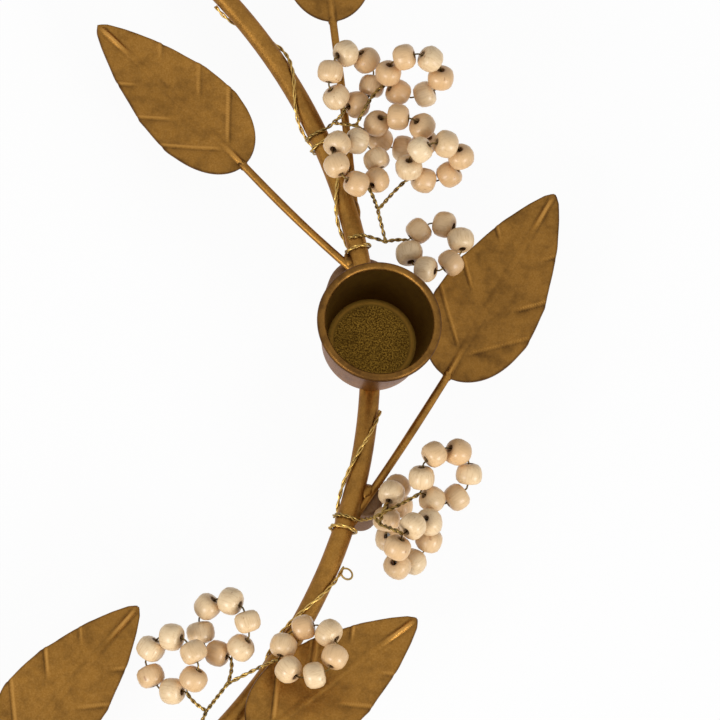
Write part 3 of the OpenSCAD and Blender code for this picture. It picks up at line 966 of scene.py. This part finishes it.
class CANDLE_RING_OT_cups(CandleRingOperator, bpy.types.Operator):
    """Make the four candle cups with rolled rims and bordered floors"""
    bl_idname = "candle_ring.cups"
    bl_label = "Candle cups"

    def execute(self, context):
        sizes, colours = context.scene.candle_ring_sizes, context.scene.candle_ring_colours
        # The inner walls get a darker paint, as painted shade inside the cup.
        painted_shade_inside = painted_metal(
            "cup lining", colours.cup_inside_shade, colours.gold, colours.patina_and_shade, 0.15, (0.5, 0.6))
        floor = speckled_metal("cup floor", colours)
        pattern = cup_shape(sizes)
        for quarter in range(QUARTERS):
            cup = pattern.copy()
            cup.data = pattern.data.copy()
            context.scene.collection.objects.link(cup)
            turn = rotation("Z", CUP_ANGLE + QUARTER_TURN * quarter)
            move_mesh(cup, turn @ Matrix.Translation((sizes.ring_width / 2, 0, 0)))
            finish_piece(cup, f"cup_{quarter + 1}", "ring", [f"candle_cup_{quarter + 1}"],
                         [self.gold(context), painted_shade_inside, floor])
        bpy.data.objects.remove(pattern)
        return {"FINISHED"}


class CANDLE_RING_OT_stems(CandleRingOperator, bpy.types.Operator):
    """Make the leaf stems with their welds on the rod"""
    bl_idname = "candle_ring.stems"
    bl_label = "Stems"

    def execute(self, context):
        sizes = context.scene.candle_ring_sizes
        for node in ("inner_stems", "outer_stems"):
            parts = []
            for number, leaf in enumerate(LEAVES):
                if leaf.stems == node:
                    parts += stem_shape(sizes, leaf, random.Random(SEED * 100 + number))
            finish_piece(
                join(parts), f"{node}_welded", "ring", [node], [self.gold(context)], 60)
        return {"FINISHED"}


class CANDLE_RING_OT_leaves(CandleRingOperator, bpy.types.Operator):
    """Make the pressed leaves with their veins"""
    bl_idname = "candle_ring.leaves"
    bl_label = "Leaves"

    def execute(self, context):
        sizes = context.scene.candle_ring_sizes
        for number, leaf in enumerate(LEAVES):
            sheet = leaf_shape(sizes, leaf, random.Random(SEED * 200 + number))
            finish_piece(sheet, f"{leaf.node}_pressed", "ring", [leaf.node],
                         [self.gold(context)], 50)
        return {"FINISHED"}


class CANDLE_RING_OT_wires(CandleRingOperator, bpy.types.Operator):
    """Make the twisted wire of every spray and the wire through its beads"""
    bl_idname = "candle_ring.wires"
    bl_label = "Wires"

    def execute(self, context):
        sizes = context.scene.candle_ring_sizes
        brass = brass_wire("brass wire", context.scene.candle_ring_colours)
        for spray, quarter, number in placed_sprays():
            wires = spray_wires(sizes, spray, quarter, random.Random(SEED * 300 + number))
            name = f"{spray.name}_wire_{quarter + 1}"
            finish_piece(wires, f"{name}_twisted", "ring", [name], [brass], 60)
        return {"FINISHED"}


class CANDLE_RING_OT_beads(CandleRingOperator, bpy.types.Operator):
    """Make the wooden beads, those of one loop free to turn on their wire"""
    bl_idname = "candle_ring.beads"
    bl_label = "Beads"

    def execute(self, context):
        sizes = context.scene.candle_ring_sizes
        finish = [bead_wood("bead wood", context.scene.candle_ring_colours), bead_hole("bead hole")]
        pattern = turned_bead(sizes)
        for spray, quarter, number in placed_sprays():
            luck = random.Random(SEED * 400 + number)
            fixed, free = [], []
            for which, floret in enumerate(spray.florets):
                turning = spray.name == FREE_SPRAY and quarter == 0 and which == 0
                for bead in range(BEADS_PER_LOOP):
                    place = bead_place(sizes, spray, quarter, floret, bead)
                    (free if turning else fixed).append(own_bead(pattern, place, luck, not turning))
            for bead, piece in enumerate(free):
                finish_piece(piece, f"turned_bead_{bead + 1}", f"bead_{bead + 1}",
                             [f"turning_bead_{bead + 1}"], finish, 60)
            name = f"{spray.name}_beads_{quarter + 1}"
            finish_piece(join(fixed), f"{name}_turned", "ring", [name], finish, 60)
        bpy.data.objects.remove(pattern)
        return {"FINISHED"}


PHOTO_SIZE = 720
CAMERA_DISTANCE = 1.165
CAMERA_ELEVATION = 72.5
FOCAL_PIXELS = 5303
CAMERA_ROLL = 2.36
AIM = (123.7 * MM, 1.6 * MM)


class CANDLE_RING_OT_stage(CandleRingOperator, bpy.types.Operator):
    """Make the floor, the soft lights and the camera"""
    bl_idname = "candle_ring.stage"
    bl_label = "Stage"

    def execute(self, context):
        colours = context.scene.candle_ring_colours
        self.floor(colours)
        self.world(context)
        self.lights(context)
        self.camera(context)
        context.scene.view_settings.view_transform = "Standard"
        return {"FINISHED"}

    def seen_directly(self, tree):
        """1 for rays from the camera and rays reflected or bent on their way, 0 for soft light."""
        rays = tree.nodes.new("ShaderNodeLightPath")
        total = rays.outputs["Is Camera Ray"]
        for name in ("Is Glossy Ray", "Is Transmission Ray"):
            node = tree.nodes.new("ShaderNodeMath")
            node.operation = "MAXIMUM"
            tree.links.new(total, node.inputs[0])
            tree.links.new(rays.outputs[name], node.inputs[1])
            total = node.outputs["Value"]
        return total

    def floor(self, colours):
        deselect_all()
        bpy.ops.mesh.primitive_plane_add(size=6, location=(0, 0, 0))
        floor = bpy.context.object
        floor.name = "floor"
        material = bpy.data.materials.new("floor")
        material.use_nodes = True
        tree = material.node_tree
        shader = tree.nodes["Principled BSDF"]
        shader.inputs["Base Color"].default_value = (*colours.floor, 1)
        shader.inputs["Roughness"].default_value = 0.9
        shader.inputs["Specular IOR Level"].default_value = 0.1
        glow = tree.nodes.new("ShaderNodeEmission")
        glow.inputs["Color"].default_value = (1, 1, 1, 1)
        glow.inputs["Strength"].default_value = 1
        share = tree.nodes.new("ShaderNodeMath")
        share.operation = "MULTIPLY"
        share.inputs[1].default_value = 0.94
        tree.links.new(self.seen_directly(tree), share.inputs[0])
        mix = tree.nodes.new("ShaderNodeMixShader")
        tree.links.new(share.outputs["Value"], mix.inputs["Fac"])
        tree.links.new(shader.outputs["BSDF"], mix.inputs[1])
        tree.links.new(glow.outputs["Emission"], mix.inputs[2])
        tree.links.new(mix.outputs["Shader"], tree.nodes["Material Output"].inputs["Surface"])
        floor.data.materials.append(material)

    def world(self, context):
        world = bpy.data.worlds.new("studio")
        context.scene.world = world
        world.use_nodes = True
        tree = world.node_tree
        back = tree.nodes["Background"]
        back.inputs["Color"].default_value = (1, 1, 1, 1)
        level = tree.nodes.new("ShaderNodeMapRange")
        level.inputs["To Min"].default_value = 0.5
        level.inputs["To Max"].default_value = 1.0
        tree.links.new(self.seen_directly(tree), level.inputs["Value"])
        tree.links.new(level.outputs["Result"], back.inputs["Strength"])

    def lights(self, context):
        """Two soft boxes, low in front to the left and right."""
        middle = Vector((0.1, 0, 0.02))
        boxes = (("left box", (-0.62, -0.68, 0.42), 1.3, 0.42, 9.0),
                 ("right box", (0.66, -0.66, 0.42), 1.3, 0.42, 8.0))
        for name, way, distance, size, power in boxes:
            light = bpy.data.lights.new(name, "AREA")
            light.shape = "SQUARE"
            light.size = size
            light.energy = power
            holder = bpy.data.objects.new(name, light)
            context.scene.collection.objects.link(holder)
            direction = Vector(way).normalized()
            holder.location = middle + direction * distance
            holder.rotation_euler = direction.to_track_quat("Z", "Y").to_euler()

    def camera(self, context):
        data = bpy.data.cameras.new("camera")
        data.sensor_width = 36
        data.lens = FOCAL_PIXELS / PHOTO_SIZE * data.sensor_width
        camera = bpy.data.objects.new("camera", data)
        context.scene.collection.objects.link(camera)
        context.scene.camera = camera
        tilt = math.radians(CAMERA_ELEVATION)
        back = Vector((0, -math.cos(tilt), math.sin(tilt)))
        up = Vector((0, math.sin(tilt), math.cos(tilt)))
        camera.location = back * CAMERA_DISTANCE + Vector((0, 0, ROD_HEIGHT))
        aim = Vector((*AIM, ROD_HEIGHT)) - camera.location
        yaw = math.atan2(aim.x, -aim.dot(back))
        pitch = math.atan2(aim.dot(up), math.hypot(aim.x, aim.dot(back)))
        turn = Matrix((Vector((1, 0, 0)), up, back)).transposed()
        turn = turn @ Matrix.Rotation(-yaw, 3, "Y") @ Matrix.Rotation(pitch, 3, "X")
        turn = turn @ rotation("Z", CAMERA_ROLL, 3)
        camera.rotation_euler = turn.to_euler()
        data.clip_start, data.clip_end = 0.01, 20


class CANDLE_RING_PT_panel(bpy.types.Panel):
    bl_label = "Candle Ring"
    bl_idname = "CANDLE_RING_PT_panel"
    bl_space_type = "VIEW_3D"
    bl_region_type = "UI"
    bl_category = "Candle Ring"

    def draw(self, context):
        layout = self.layout
        for operator in OPERATORS:
            layout.operator(operator.bl_idname)
        for group in (context.scene.candle_ring_sizes, context.scene.candle_ring_colours):
            column = layout.column(align=True)
            for name in group.__annotations__:
                column.prop(group, name)


OPERATORS = (
    CANDLE_RING_OT_rod,
    CANDLE_RING_OT_feet,
    CANDLE_RING_OT_cups,
    CANDLE_RING_OT_stems,
    CANDLE_RING_OT_leaves,
    CANDLE_RING_OT_wires,
    CANDLE_RING_OT_beads,
    CANDLE_RING_OT_stage,
)
CLASSES = (CandleRingSizes, CandleRingColours, *OPERATORS, CANDLE_RING_PT_panel)


def register():
    for cls in CLASSES:
        bpy.utils.register_class(cls)
    bpy.types.Scene.candle_ring_sizes = bpy.props.PointerProperty(type=CandleRingSizes)
    bpy.types.Scene.candle_ring_colours = bpy.props.PointerProperty(type=CandleRingColours)


def unregister():
    del bpy.types.Scene.candle_ring_colours
    del bpy.types.Scene.candle_ring_sizes
    for cls in reversed(CLASSES):
        bpy.utils.unregister_class(cls)


def main():
    register()
    deselect_all()
    bpy.ops.candle_ring.rod()
    bpy.ops.candle_ring.feet()
    bpy.ops.candle_ring.cups()
    bpy.ops.candle_ring.stems()
    bpy.ops.candle_ring.leaves()
    bpy.ops.candle_ring.wires()
    bpy.ops.candle_ring.beads()
    bpy.ops.candle_ring.stage()


if __name__ == "__main__":
    main()
